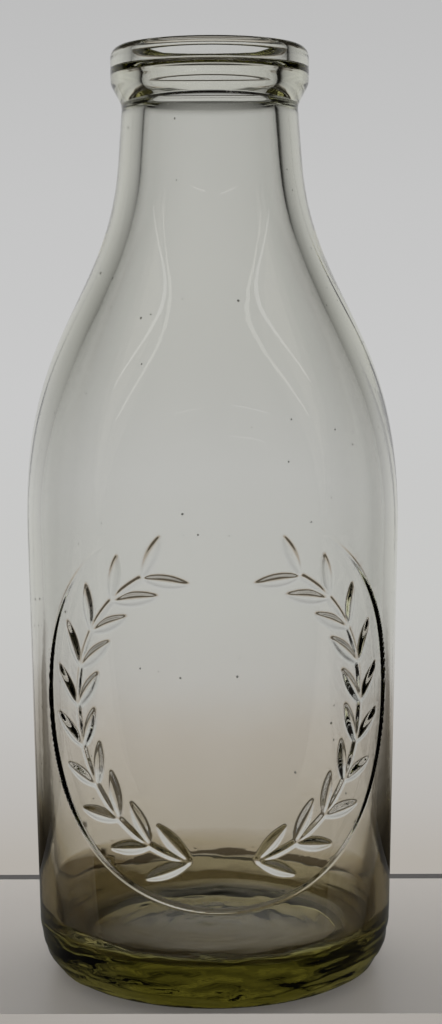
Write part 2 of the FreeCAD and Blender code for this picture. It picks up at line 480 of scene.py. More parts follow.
def mesh_from_tree(tree, name, values):
    """Runs a tree on an empty mesh with its inputs set, and returns the result as a plain object."""
    thing = new_object(name, bpy.data.meshes.new(name + "_start"))
    modifier = thing.modifiers.new(name, "NODES")
    modifier.node_group = tree
    sockets = {item.name: item.identifier for item in tree.interface.items_tree if item.in_out == "INPUT"}
    for label, value in values.items():
        modifier[sockets[label]] = value
    evaluated = thing.evaluated_get(bpy.context.evaluated_depsgraph_get())
    mesh = bpy.data.meshes.new_from_object(evaluated)
    thing.modifiers.remove(modifier)
    thing.data = mesh
    mesh.name = name
    return thing


print("tree helpers ready")

# %% [markdown]
# ## The raised drawing, flat
# The front carries a raised circle with a plain wreath inside it: two sprays of paired leaves. The wreath
# is drawn flat first, with X along the glass, Z up and the relief towards -Y, and pressed into the round
# glass later. Leaves repeat along a path, so a node tree places them.

# %% Sizes of the drawing
wreath_sizes = {
    "Wreath radius": 39.3 * mm,
    "Leaf pairs": 10,
    "First leaf turn": math.radians(12),
    "Last leaf turn": math.radians(150),
    "Leaf length": 12.5 * mm,
    "Leaf width": 3.4 * mm,
    "Leaf relief": 0.85 * mm,
    "Leaf lean": math.radians(36),
    "Stem width": 1.8 * mm,
    "Stem relief": 0.45 * mm,
}
drawing, draw, size = new_tree("raised_drawing", wreath_sizes)
print("drawing tree has", len(wreath_sizes), "named inputs")

# %% [markdown]
# One leaf is a small grid. Along its length the width follows a parabola, so both ends are pointed, and
# across it the height is a dome.

# %% One leaf
leaf_size = {"Size X": 1.0, "Size Y": 1.0, "Vertices X": 17, "Vertices Y": 9}
leaf_grid = draw("GeometryNodeMeshGrid", leaf_size)
grid_place = draw("GeometryNodeInputPosition")
grid_axes = draw("ShaderNodeSeparateXYZ", [grid_place])
along = draw("ADD", [grid_axes.outputs["X"], 0.5])
beyond = draw("SUBTRACT", [1.0, along])
bulge = draw("MULTIPLY", [along, beyond])
full_bulge = draw("MULTIPLY", [bulge, 4.0])
across = draw("MULTIPLY", [grid_axes.outputs["Y"], size["Leaf width"]])
leaf_side = draw("MULTIPLY", [across, full_bulge])
doubled = draw("MULTIPLY", [grid_axes.outputs["Y"], 2.0])
squared = draw("POWER", [doubled, 2.0])
dome = draw("SUBTRACT", [1.0, squared])
long_dome = draw("POWER", [full_bulge, 0.5])
leaf_dome = draw("MULTIPLY", [dome, long_dome])
leaf_rise = draw("MULTIPLY", [leaf_dome, size["Leaf relief"]])
leaf_front = draw("MULTIPLY", [leaf_rise, -1.0])
leaf_along = draw("MULTIPLY", [along, size["Leaf length"]])
leaf_place = draw("ShaderNodeCombineXYZ", [leaf_along, leaf_front, leaf_side])
leaf = draw("GeometryNodeSetPosition", {"Geometry": leaf_grid, "Position": leaf_place})
print("one leaf is a grid of", leaf_size["Vertices X"], "by", leaf_size["Vertices Y"], "vertices")

# %% [markdown]
# The leaves' places come from their number: the last bit is the hand of the spray, the next one is the
# side of the stem, and the rest is the pair, counted up from the bottom. A small random scale keeps them
# from looking stamped by a machine.

# %% Leaves along the two sprays
smallest_leaf = 0.92
largest_leaf = 1.06

leaf_count = draw("MULTIPLY", [size["Leaf pairs"], 4.0])
leaf_points = draw("GeometryNodePoints", [leaf_count])
number = draw("GeometryNodeInputIndex")
hand_bit = draw("MODULO", [number, 2.0])
hand = draw("MULTIPLY_ADD", [hand_bit, 2.0, -1.0])
half_number = draw("MULTIPLY", [number, 0.5])
half_floor = draw("FLOOR", [half_number])
side_bit = draw("MODULO", [half_floor, 2.0])
stem_side = draw("MULTIPLY_ADD", [side_bit, 2.0, -1.0])
quarter_number = draw("MULTIPLY", [number, 0.25])
pair = draw("FLOOR", [quarter_number])
last_pair = draw("SUBTRACT", [size["Leaf pairs"], 1.0])
turn_range = {"To Min": size["First leaf turn"], "To Max": size["Last leaf turn"]}
turn_up = draw("ShaderNodeMapRange", {"Value": pair, "From Max": last_pair, **turn_range})
turn = draw("MULTIPLY", [turn_up, hand])
turn_sine = draw("SINE", [turn])
turn_cosine = draw("COSINE", [turn])
leaf_x = draw("MULTIPLY", [turn_sine, size["Wreath radius"]])
leaf_drop = draw("MULTIPLY", [turn_cosine, size["Wreath radius"]])
leaf_z = draw("MULTIPLY", [leaf_drop, -1.0])
leaf_spot = draw("ShaderNodeCombineXYZ", {"X": leaf_x, "Z": leaf_z})
placed_points = draw("GeometryNodeSetPosition", {"Geometry": leaf_points, "Position": leaf_spot})

# The spray on the left grows the other way round, so its heading turns by half a circle
back_turn = draw("MULTIPLY_ADD", [hand_bit, -math.pi, math.pi])
growth = draw("ADD", [turn, back_turn])
lean = draw("MULTIPLY", [stem_side, size["Leaf lean"]])
heading = draw("ADD", [growth, lean])
leaf_turn = draw("MULTIPLY", [heading, -1.0])
leaf_rotation = draw("ShaderNodeCombineXYZ", {"Y": leaf_turn})
leaf_range = {2: smallest_leaf, 3: largest_leaf, "Seed": 4}
leaf_scale = draw("FunctionNodeRandomValue", leaf_range).outputs[1]
leaves = draw(
    "GeometryNodeInstanceOnPoints",
    {"Points": placed_points, "Instance": leaf, "Rotation": leaf_rotation, "Scale": leaf_scale},
)
print("leaves placed by number, pair by pair")

# %% [markdown]
# Stems are round wires half sunk in the sheet.

# %% Stems
stem_sweep = draw("SUBTRACT", [size["Last leaf turn"], size["First leaf turn"]])
stem_half = draw("MULTIPLY", [size["Stem width"], 0.5])
stem_profile = draw("GeometryNodeCurvePrimitiveCircle", {"Resolution": 12, "Radius": stem_half})
stem_sink = draw("SUBTRACT", [stem_half, size["Stem relief"]])
stem_shift = draw("ShaderNodeCombineXYZ", {"Y": stem_sink})
upright = {"Rotation": (math.pi / 2, 0, 0), "Translation": stem_shift}
stems = []
for spray in (1.0, -1.0):
    start = draw("MULTIPLY_ADD", [size["First leaf turn"], spray, -math.pi / 2])
    sweep = draw("MULTIPLY", [stem_sweep, spray])
    arc = draw(
        "GeometryNodeCurveArc",
        {"Resolution": 96, "Radius": size["Wreath radius"], "Start Angle": start, "Sweep Angle": sweep},
    )
    stem = draw("GeometryNodeTransform", {"Geometry": arc, **upright})
    stems.append(draw("GeometryNodeCurveToMesh", {"Curve": stem, "Profile Curve": stem_profile}))
print("two stems drawn")

# %% The drawing, joined and made a plain mesh
joined = draw("GeometryNodeJoinGeometry")
for part in (leaves, *stems):
    drawing.links.new(part.outputs[0], joined.inputs[0])
realized = draw("GeometryNodeRealizeInstances", [joined])
draw("NodeGroupOutput", [realized])
flat_drawing = mesh_from_tree(drawing, "flat_drawing", wreath_sizes)
print("flat drawing:", len(flat_drawing.data.polygons), "faces")

# %% [markdown]
# ## Colour and glass
# Colours are written as they look on a screen, as hex values, and one function turns them into the linear
# values that light is reckoned in. Another gives a colour ramp its stops, and a third starts a material.

# %% Colours
def linear(code):
    """Linear red, green, blue and alpha of an sRGB hex colour such as C8C8C4."""
    parts = [int(code[place:place + 2], 16) / 255 for place in (0, 2, 4)]
    bent = [part / 12.92 if part <= 0.04045 else ((part + 0.055) / 1.055) ** 2.4 for part in parts]
    return (*bent, 1.0)


def set_stops(ramp, stops):
    """Spreads colours along a ramp. Each stop is a value, from low to high, and an sRGB colour."""
    low, high = min(stops), max(stops)
    elements = ramp.color_ramp.elements
    while len(elements) < len(stops):
        elements.new(0.5)
    for element, (value, colour) in zip(elements, stops.items()):
        element.position = (value - low) / (high - low)
        element.color = linear(colour)


def new_material(name):
    """A material with an empty tree, and the call that adds a node to it."""
    material = bpy.data.materials.new(name)
    material.use_nodes = True
    material.node_tree.nodes.clear()
    return material, partial(add_node, material.node_tree)


print("mid grey is", [round(part, 3) for part in linear("808080")])

# %% [markdown]
# The glass is soda-lime glass, melted from ordinary sand, pressed and blown. A little iron in the sand
# leaves it faintly olive: hardly to be seen through one wall, and plain in the thick base, where light
# runs a long way. Absorption inside gives the faint colour of the walls. The surface is smooth, with a
# slow ripple from the mould and faint scuffs from the crate.

# %% Soda-lime glass: the surface
ripple_size = 6.0
ripple_height = 0.1
scuff_size = 1.6
scuff_roughness = 0.06

glass, melt = new_material("soda_lime_glass")
place = melt("ShaderNodeTexCoord").outputs["Object"]
ripple = melt(
    "ShaderNodeTexNoise",
    {"Vector": place, "Scale": 1 / (ripple_size * mm), "Detail": 2.0, "Roughness": 0.45},
)
ripple_bump = melt("ShaderNodeBump", {"Strength": 0.12, "Distance": ripple_height * mm, "Height": ripple})
scuffs = melt(
    "ShaderNodeTexNoise", {"Vector": place, "Scale": 1 / (scuff_size * mm), "Detail": 4.0, "Roughness": 0.6}
)
roughness = melt(
    "ShaderNodeMapRange",
    {"Value": scuffs, "From Min": 0.55, "From Max": 0.8, "To Min": 0.0, "To Max": scuff_roughness},
)
print("glass ripples every", ripple_size, "mm")

# %% [markdown]
# In the heel light is thrown to and fro many times, more often than a render can follow. So the heel's
# surface carries the olive that those long ways would leave, together with painted shade: deep in front,
# lighter towards the sides. The two painted brown shades, inside and outside, are darker at a slant, and
# the inside one is heavier on the left.

# %% Soda-lime glass: its colour and painted shades
olive_shade_at_sides = 0.45
inner_shade_left = 1.4
inner_shade_right = 0.5
inner_shade_seen_straight = 0.35
inner_shade_seen_at_slant = 3.5
outer_shade_seen_at_slant = 8.0

place_axes = melt("ShaderNodeSeparateXYZ", [place])
olive, film, grime = [
    melt("ShaderNodeAttribute", attribute_name=label).outputs["Fac"]
    for label in ("olive", "film", "grime")
]
# Painted shade: the heel's olive goes deep in front and lighter at the sides.
front_shade_share = melt(
    "ShaderNodeMapRange",
    {"Value": place_axes.outputs["Y"], "From Min": 5 * mm, "From Max": -42 * mm, "To Min": olive_shade_at_sides},
)
olive_shade_depth = melt("MULTIPLY", [olive, front_shade_share])
olive_shade_tint = melt("ShaderNodeValToRGB", [olive_shade_depth])
set_stops(olive_shade_tint, {0: "FFFFFF", 0.55: "A89C58", 1: "403B0A"})

# Painted brown shades: inside heavier on the left, both darker at a slant.
slant = melt("ShaderNodeLayerWeight", {"Blend": 0.5}).outputs["Facing"]
inner_shade_slant = melt("POWER", [slant, 2.0])
inner_shade_depth = melt("MULTIPLY_ADD", [inner_shade_slant, inner_shade_seen_at_slant, inner_shade_seen_straight])
inner_shade_sides = {"From Min": -36 * mm, "From Max": 36 * mm, "To Min": inner_shade_left, "To Max": inner_shade_right}
inner_shade_side = melt("ShaderNodeMapRange", {"Value": place_axes.outputs["X"], **inner_shade_sides})
inner_shade_here = melt("MULTIPLY", [film, inner_shade_side])
inner_shade_share = melt("MULTIPLY", [inner_shade_here, inner_shade_depth])
outer_shade_slant = melt("POWER", [slant, 3.0])
outer_shade_depth = melt("MULTIPLY", [grime, outer_shade_slant])
painted_shading = melt("MULTIPLY_ADD", [outer_shade_depth, outer_shade_seen_at_slant, inner_shade_share])
# The colour of the painted brown shades, from none to deepest.
painted_shade_colour = melt("ShaderNodeValToRGB", [painted_shading])
set_stops(painted_shade_colour, {0: "FFFFFF", 0.36: "CEC2A6", 1: "493C22"})
base_colour = melt(
    "ShaderNodeMix", {0: 1.0, 6: olive_shade_tint, 7: painted_shade_colour}, data_type="RGBA", blend_type="MULTIPLY"
)
surface = melt(
    "ShaderNodeBsdfPrincipled",
    {
        "Base Color": base_colour.outputs[2],
        "Roughness": roughness,
        "IOR": 1.52,
        "Transmission Weight": 1.0,
        "Normal": ripple_bump,
    },
)
absorption = melt("ShaderNodeVolumeAbsorption", {"Color": linear("CED041"), "Density": 9.5})
melt("ShaderNodeOutputMaterial", {"Surface": surface, "Volume": absorption})
print("glass:", glass.name, "with", len(glass.node_tree.nodes), "nodes")

# %% [markdown]
# ## Turning the glass
# The bottle's own tree starts from a flat grid with one vertex for each row and column, and rolls it up:
# the column gives the angle, the row gives the radius and the height. Where the front is plain, six rows
# and six columns slide onto one, and a merge welds them. That leaves close rows only where the relief
# needs them, with no gap between fine and coarse. The same merge closes the seam and both poles.

# %% Sizes of the bottle tree
block_size = weld * relief_row_spacing
half_diagonal = 0.71
bottle_sizes = {
    "Rows": row_points,
    "Columns": column_points,
    "Drawing": flat_drawing,
    "Row count": len(rows),
    "Column count": len(columns),
    "Wrap radius": wrap_radius * mm,
    "Centre height": circle_centre_height * mm,
    "Circle radius": circle_radius * mm,
    "Ridge height": ridge_height * mm,
    "Ridge wall": ridge_wall * mm,
    "Ridge slope": ridge_slope * mm,
    "Ridge middle": (circle_radius + (ridge_slope - ridge_wall) / 2) * mm,
    "Ridge reach": (block_size * half_diagonal + (ridge_slope + ridge_wall) / 2) * mm,
    "Block size": block_size * mm,
    "Wave size": 22 * mm,
    "Crumple size": 2.8 * mm,
    "Seam height": seam_height * mm,
    "Seam half angle": seam_half,
    "Seed density": 1500.0,
    "Seed depth": -1.6 * mm,
    "Smallest seed": 0.12 * mm,
    "Largest seed": 0.4 * mm,
    "Seed": 7,
    "Glass": glass,
}
bottle, form, given = new_tree("turned_bottle", bottle_sizes)
print("bottle tree has", len(bottle_sizes), "named inputs")

# %% The bottle tree: the row and column of each vertex
row_source, column_source, drawing_source = [
    form("GeometryNodeObjectInfo", [given[label]]).outputs["Geometry"]
    for label in ("Rows", "Columns", "Drawing")
]
sheet_size = {"Vertices X": given["Column count"], "Vertices Y": given["Row count"]}
sheet = form("GeometryNodeMeshGrid", sheet_size)
vertex = form("GeometryNodeInputIndex")
column_share = form("DIVIDE", [vertex, given["Row count"]])
column = form("FLOOR", [column_share])
row = form("MODULO", [vertex, given["Row count"]])
here = form("GeometryNodeInputPosition")
trait = {label: form("GeometryNodeInputNamedAttribute", [label]) for label in row_labels}
plain_row, plain_column, row_drawn = [
    form("GeometryNodeSampleIndex", [source, value, index])
    for source, value, index in (
        (row_source, trait["plain"], row),
        (column_source, trait["plain"], column),
        (row_source, trait["drawn"], row),
    )
]
print("bottle tree reads", len(rows), "rows and", len(columns), "columns")

# %% [markdown]
# A block is the patch that welds into one vertex where the front is plain. It stays fine if its middle is
# near the circle or near the wreath.

# %% The bottle tree: choosing fine or plain, block by block
block_axes, block_turn = [
    form("GeometryNodeSampleIndex", [source, here, index], data_type="FLOAT_VECTOR")
    for source, index in ((row_source, plain_row), (column_source, plain_column))
]
block_height = form("ShaderNodeSeparateXYZ", [block_axes]).outputs["Z"]
block_angle = form("ShaderNodeSeparateXYZ", [block_turn])
block_arc = form("MULTIPLY", [block_angle, given["Wrap radius"]])
block_rise = form("SUBTRACT", [block_height, given["Centre height"]])
block_corner = form("ShaderNodeCombineXYZ", {"X": block_arc, "Z": block_rise})
half_block = form("MULTIPLY", [given["Block size"], 0.5])
to_middle = form("ShaderNodeCombineXYZ", {"X": half_block, "Z": half_block})
block_flat = form("ShaderNodeVectorMath", [block_corner, to_middle], operation="ADD")
block_distance = form("ShaderNodeVectorMath", [block_flat], operation="LENGTH").outputs["Value"]
on_ring = form("COMPARE", [block_distance, given["Ridge middle"], given["Ridge reach"]])
to_drawing = form("GeometryNodeProximity", {0: drawing_source, "Source Position": block_flat})
on_drawing = form("LESS_THAN", [to_drawing.outputs["Distance"], given["Block size"]])
on_relief = form("MAXIMUM", [on_ring, on_drawing])
fine = form("MULTIPLY", [on_relief, row_drawn])
used_row = form("ShaderNodeMix", {0: fine, 2: plain_row, 3: row})
used_column = form("ShaderNodeMix", {0: fine, 2: plain_column, 3: column})
nearest_row = form("ROUND", [used_row])
nearest_column = form("ROUND", [used_column])
print("plain blocks weld", weld, "by", weld, "vertices into one")

# %% The bottle tree: rolling the sheet up
weld_distance = 0.003
row_point, angle_point = [
    form("GeometryNodeSampleIndex", [source, here, index], data_type="FLOAT_VECTOR")
    for source, index in ((row_source, nearest_row), (column_source, nearest_column))
]
angle = form("ShaderNodeSeparateXYZ", [angle_point])
rolled = row_point
for turn_by in (angle, -math.pi / 2):
    rolled = form("ShaderNodeVectorRotate", {"Vector": rolled, "Angle": turn_by}, rotation_type="Z_AXIS")
shape = form("GeometryNodeSetPosition", {"Geometry": sheet, "Position": rolled})
for label in row_labels[1:]:
    row_trait = form("GeometryNodeSampleIndex", [row_source, trait[label], nearest_row])
    stored = {"Geometry": shape, "Name": label, "Value": row_trait}
    shape = form("GeometryNodeStoreNamedAttribute", stored)
welded = form("GeometryNodeMergeByDistance", {"Geometry": shape, "Distance": weld_distance * mm})
print("sheet rolled and welded")

# %% [markdown]
# ## Relief, waves and seams
# The wreath is pressed into the glass by asking, for each vertex, how high the flat drawing stands at the
# same distance along the front and the same height. A ray shot at the drawing answers that. One pass of
# blur rounds the edges, as fire-polished glass has them.

# %% The bottle tree: how high the drawing stands
ray_start_distance = 10
axes = form("ShaderNodeSeparateXYZ", [here])
towards_front = form("MULTIPLY", [axes.outputs["Y"], -1.0])
glass_turn = form("ARCTAN2", [axes.outputs["X"], towards_front])
glass_arc = form("MULTIPLY", [glass_turn, given["Wrap radius"]])
glass_rise = form("SUBTRACT", [axes.outputs["Z"], given["Centre height"]])
ray_start = form("ShaderNodeCombineXYZ", [glass_arc, -ray_start_distance * mm, glass_rise])
ray = form(
    "GeometryNodeRaycast",
    {
        "Target Geometry": drawing_source,
        "Source Position": ray_start,
        "Ray Direction": (0.0, 1.0, 0.0),
        "Ray Length": 2 * ray_start_distance * mm,
    },
)
hit_axes = form("ShaderNodeSeparateXYZ", [ray.outputs["Hit Position"]])
hit_height = form("MULTIPLY", [hit_axes.outputs["Y"], -1.0])
proud = form("MAXIMUM", [hit_height, 0.0])
met = form("MULTIPLY", [proud, ray.outputs["Is Hit"]])
pressed = form("MULTIPLY", [met, trait["drawn"]])
drawn_relief = form("GeometryNodeBlurAttribute", {"Value": pressed, "Iterations": 1, "Weight": 0.8})
print("relief is read from the flat drawing")

# %% [markdown]
# The circle is the edge of a round plate that was set into the mould: a steep wall on its inner side, and
# outside it a slope that runs out within a millimetre. The plate sat a little askew, so the wall is high
# at the sides, highest at the upper right and the lower left, low at the bottom and gone at the top.

# %% The bottle tree: the raised circle
wall_all_round = 0.24
wall_at_sides = 0.6
wall_on_right = 0.03
wall_askew = 0.55
wall_at_top = -0.04
fade_start = 0.55
fade_end = 0.85

flat_place = form("ShaderNodeCombineXYZ", {"X": glass_arc, "Z": glass_rise})
ring_distance = form("ShaderNodeVectorMath", [flat_place], operation="LENGTH").outputs["Value"]
ring_way = form("ShaderNodeVectorMath", [flat_place], operation="NORMALIZE")
ring_axes = form("ShaderNodeSeparateXYZ", [ring_way])
ring_x = ring_axes.outputs["X"]
ring_z = ring_axes.outputs["Z"]
sideways = form("MULTIPLY_ADD", [ring_x, wall_at_sides, wall_on_right])
askew = form("MULTIPLY_ADD", [ring_z, wall_askew, sideways])
at_sides = form("MULTIPLY_ADD", [ring_x, askew, wall_all_round])
wall_share = form("MULTIPLY_ADD", [ring_z, wall_at_top, at_sides])
wall_foot = form("SUBTRACT", [given["Circle radius"], given["Ridge wall"]])
slope_foot = form("ADD", [given["Circle radius"], given["Ridge slope"]])
ring_relief = form("MULTIPLY", [wall_share, given["Ridge height"]])
for measure, foot, crest in (
    (ring_distance, wall_foot, given["Circle radius"]),
    (ring_distance, slope_foot, given["Circle radius"]),
    (ring_z, fade_end, fade_start),
):
    rising = form("ShaderNodeMapRange", [measure, foot, crest])
    ring_relief = form("MULTIPLY", [ring_relief, rising])
ring_outside = form("MULTIPLY", [ring_relief, trait["outside"]])
ring_front = form("GREATER_THAN", [towards_front, 0.0])
relief = form("MULTIPLY_ADD", [ring_outside, ring_front, drawn_relief])
print("circle's wall stands about", ridge_height, "mm proud at its highest")

# %% [markdown]
# Noise adds the waves of old glass, which are drawn out along the axis, and the crumples of the base,
# which are drawn out from side to side. A narrow step makes the two mould seams, a quarter turn either
# way, from the heel to the collar.

# %% The bottle tree: waves, crumpling and seams
drawn_out = 0.35
full_swing = 2 * mm

wave_scale = form("DIVIDE", [1.0, given["Wave size"]])
tall = form("ShaderNodeVectorMath", [here, (1.0, 1.0, drawn_out)], operation="MULTIPLY")
waves = form("ShaderNodeTexNoise", {"Vector": tall, "Scale": wave_scale, "Detail": 1.0, "Roughness": 0.4})
crumple_scale = form("DIVIDE", [1.0, given["Crumple size"]])
from_axis = form("ShaderNodeVectorMath", [here, (1.0, 1.0, 0.0)], operation="MULTIPLY")
axis_distance = form("ShaderNodeVectorMath", [from_axis], operation="LENGTH").outputs["Value"]
slow_x = form("MULTIPLY", [axes.outputs["X"], drawn_out])
streaked = form("ShaderNodeCombineXYZ", [slow_x, axis_distance, axes.outputs["Z"]])
crumples = form(
    "ShaderNodeTexNoise", {"Vector": streaked, "Scale": crumple_scale, "Detail": 2.0, "Roughness": 0.5}
)
offset = relief
for noise, label in ((waves, "wave"), (crumples, "crumple")):
    centred = form("SUBTRACT", [noise, 0.5])
    swing = form("MULTIPLY", [centred, full_swing])
    offset = form("MULTIPLY_ADD", [trait[label], swing, offset])

turn_size = form("ABSOLUTE", [glass_turn])
from_seam = form("SUBTRACT", [turn_size, seam_angle])
seam_distance = form("ABSOLUTE", [from_seam])
at_seam = form(
    "ShaderNodeMapRange",
    {"Value": seam_distance, "From Min": given["Seam half angle"], "From Max": 0.0},
    interpolation_type="SMOOTHSTEP",
)
seam_rise = form("MULTIPLY", [at_seam, given["Seam height"]])
offset = form("MULTIPLY_ADD", [seam_rise, trait["outside"], offset])
outwards = form("GeometryNodeInputNormal")
push = form("ShaderNodeVectorMath", {0: outwards, "Scale": offset}, operation="SCALE")
formed = form("GeometryNodeSetPosition", {"Geometry": welded, "Offset": push})
print("waves, crumpling and seams added")

# %% [markdown]
# ## Seeds
# Old glass holds seeds, tiny bubbles that never rose out of the melt. Each is a little closed void, so its
# faces point into the void, away from the glass.

# %% The bottle tree: seeds and the finish
spread = {"Density": given["Seed density"], "Seed": given["Seed"]}
seed_points = form(
    "GeometryNodeDistributePointsOnFaces", {"Mesh": welded, "Selection": trait["outside"], **spread}
)
seed_way = seed_points.outputs["Normal"]
sunk = form("ShaderNodeVectorMath", {0: seed_way, "Scale": given["Seed depth"]}, operation="SCALE")
deep_points = form("GeometryNodeSetPosition", {"Geometry": seed_points, "Offset": sunk})
bubble = form("GeometryNodeMeshIcoSphere", {"Radius": 1.0, "Subdivisions": 2})
void = form("GeometryNodeFlipFaces", [bubble])
seed_range = {2: given["Smallest seed"], 3: given["Largest seed"], "Seed": given["Seed"]}
seed_size = form("FunctionNodeRandomValue", seed_range).outputs[1]
seeds = form("GeometryNodeInstanceOnPoints", {"Points": deep_points, "Instance": void, "Scale": seed_size})
whole = form("GeometryNodeJoinGeometry")
for part in (formed, seeds):
    bottle.links.new(part.outputs[0], whole.inputs[0])
made = form("GeometryNodeRealizeInstances", [whole])
smooth = form("GeometryNodeSetShadeSmooth", [made])
finished = form("GeometryNodeSetMaterial", {"Geometry": smooth, "Material": given["Glass"]})
form("NodeGroupOutput", [finished])
print("bottle tree has", len(bottle.nodes), "nodes")

# %% Turn the bottle
glass_bottle = mesh_from_tree(bottle, "glass_bottle_surface", bottle_sizes)
for helper in (row_points, column_points, flat_drawing):
    bpy.data.objects.remove(helper)
triangles = sum(len(face.vertices) - 2 for face in glass_bottle.data.polygons)
print("bottle:", len(glass_bottle.data.vertices), "vertices,", triangles, "triangles")

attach(glass_bottle, "root")
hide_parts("glass_bottle")

# %% [markdown]
# ## Floor
# Glass has almost no look of its own: it shows what stands round it. The bottle stands on a pale painted
# board that ends a little way behind it, so the light from behind comes through the whole body. A thin dark
# strip at the board's back edge is painted shadow, the shade of the gap behind it. In plain reflections the
# board is painted a dark shade, as the shaded front of a deep shelf would look.

# %% Paint for the floor
brushing_size = 40

board, coat = new_material("painted_board")
board_place = coat("ShaderNodeTexCoord").outputs["Object"]
brushing = coat(
    "ShaderNodeTexNoise",
    {"Vector": board_place, "Scale": 1 / (brushing_size * mm), "Detail": 3.0, "Roughness": 0.5},
)
board_colour = coat(
    "ShaderNodeMix", {0: brushing, 6: linear("B4AFA9"), 7: linear("B9B4AE")}, data_type="RGBA"
)
board_paths = coat("ShaderNodeLightPath").outputs
# Painted shade: rays reflected off the glass see the board in a dark colour rather than its paint.
plain_reflection = coat("SUBTRACT", [board_paths["Is Glossy Ray"], board_paths["Is Transmission Ray"]])
board_shades = {0: plain_reflection, 6: board_colour.outputs[2], 7: linear("3C3A37")}
board_seen = coat("ShaderNodeMix", board_shades, data_type="RGBA")
board_surface = coat(
    "ShaderNodeBsdfPrincipled", {"Base Color": board_seen.outputs[2], "Roughness": 0.3, "IOR": 1.45}
)
coat("ShaderNodeOutputMaterial", {"Surface": board_surface})

# Painted shadow: a dark strip behind the board stands in for the shade of the gap there.
gap_shadow = bpy.data.materials.new("painted_gap_shadow")
gap_shadow.use_nodes = True
gap_shadow.node_tree.nodes["Principled BSDF"].inputs["Base Color"].default_value = linear("4C4A48")
print("floor finishes:", board.name, "and", gap_shadow.name)

# %% Floor
floor_gap = 0.05 * mm
floor_back = 72.6 * mm
floor_front = -44.6 * mm
floor_half_width = 1.2
floor_depth = 40 * mm
gap_shadow_width = 5 * mm
floor_turn = Matrix.Rotation(math.radians(-3.53), 3, "Z")


def add_board(name, material, front, back):
    """A level board under the bottle, from a front edge to a back edge."""
    corners = [
        floor_turn @ Vector((side * floor_half_width, edge, level))
        for level in (-floor_gap - floor_depth, -floor_gap)
        for side, edge in ((-1, front), (1, front), (1, back), (-1, back))
    ]
    faces = [(3, 2, 1, 0), (4, 5, 6, 7), (0, 1, 5, 4), (1, 2, 6, 5), (2, 3, 7, 6), (3, 0, 4, 7)]
    mesh = bpy.data.meshes.new(name)
    mesh.from_pydata(corners, [], faces)
    mesh.materials.append(material)
    thing = new_object(name, mesh)
    return thing


floor = add_board("floor_board", board, floor_front, floor_back)
# The dark strip of painted shadow along the board's back edge.
add_board("floor_edging", gap_shadow, floor_back, floor_back + gap_shadow_width)
print("floor board made, its back edge", round(floor_back / mm, 1), "mm behind the axis")

# %% [markdown]
# ## Light
# The light is a pale surround, a little darker high up and low down. What shows in the glass falls off to
# the sides into two soft dark zones as well. A clear bottle needs those: its edges bend light from the
# sides towards the camera, and without something darker there they would vanish into the background.

# %% The surround
world = bpy.data.worlds.new("studio_surround")
scene.world = world
world.use_nodes = True
world.node_tree.nodes.clear()
shine = partial(add_node, world.node_tree)

way = shine("ShaderNodeTexCoord")
way_axes = shine("ShaderNodeSeparateXYZ", [way.outputs["Generated"]])
rise = way_axes.outputs["Z"]
side_size = shine("ABSOLUTE", [way_axes.outputs["X"]])
depth_size = shine("ABSOLUTE", [way_axes.outputs["Y"]])
side_turn = shine("ARCTAN2", [side_size, depth_size])
side_degrees = shine("DEGREES", [side_turn])

background_stops = {
    -0.4: "ADA69D",
    -0.281: "B3AEA7",
    -0.253: "BAB7B3",
    -0.204: "C3C2C0",
    -0.154: "C7C7C5",
    -0.05: "C9C9C9",
    0.05: "C5C5C5",
    0.145: "BEBEBE",
    0.8: "B0B0B0",
}
glass_stops = {
    -0.9: "A0968A",
    -0.84: "2A2926",
    -0.56: "2A2926",
    -0.46: "A8A5A0",
    -0.36: "AEABA5",
    -0.27: "ACA497",
    -0.224: "BAB3AB",
    -0.194: "C3C1BF",
    -0.154: "C7C7C5",
    -0.05: "C9C9C9",
    0.05: "C5C5C5",
    0.15: "BEBEBE",
    0.35: "A4A4A2",
    0.55: "787876",
    0.8: "484848",
}
side_stops = {
    0: "FFFFFF",
    20: "F5F5F5",
    35: "EAEAEA",
    47: "D6D6D6",
    57: "A8A8A8",
    64: "606060",
    72: "404040",
    80: "A0A0A0",
    88: "FFFFFF",
}
shades = []
for source, stops in ((rise, background_stops), (rise, glass_stops), (side_degrees, side_stops)):
    share = shine("ShaderNodeMapRange", [source, min(stops), max(stops)])
    shades.append(shine("ShaderNodeValToRGB", [share]))
    set_stops(shades[-1], stops)
background_colour, glass_colour, side_shade = shades
print("surround has", len(background_stops), "shades from low to high")

# %% [markdown]
# More shades are seen only in the glass. Low down lies something dark that climbs to both sides, and it
# shows in the edges of the body near the foot. And light that was thrown back inside the glass comes from
# the dark room: beside and in front of the bottle, below it and above it. That draws the black lines along
# every steep edge of the relief.

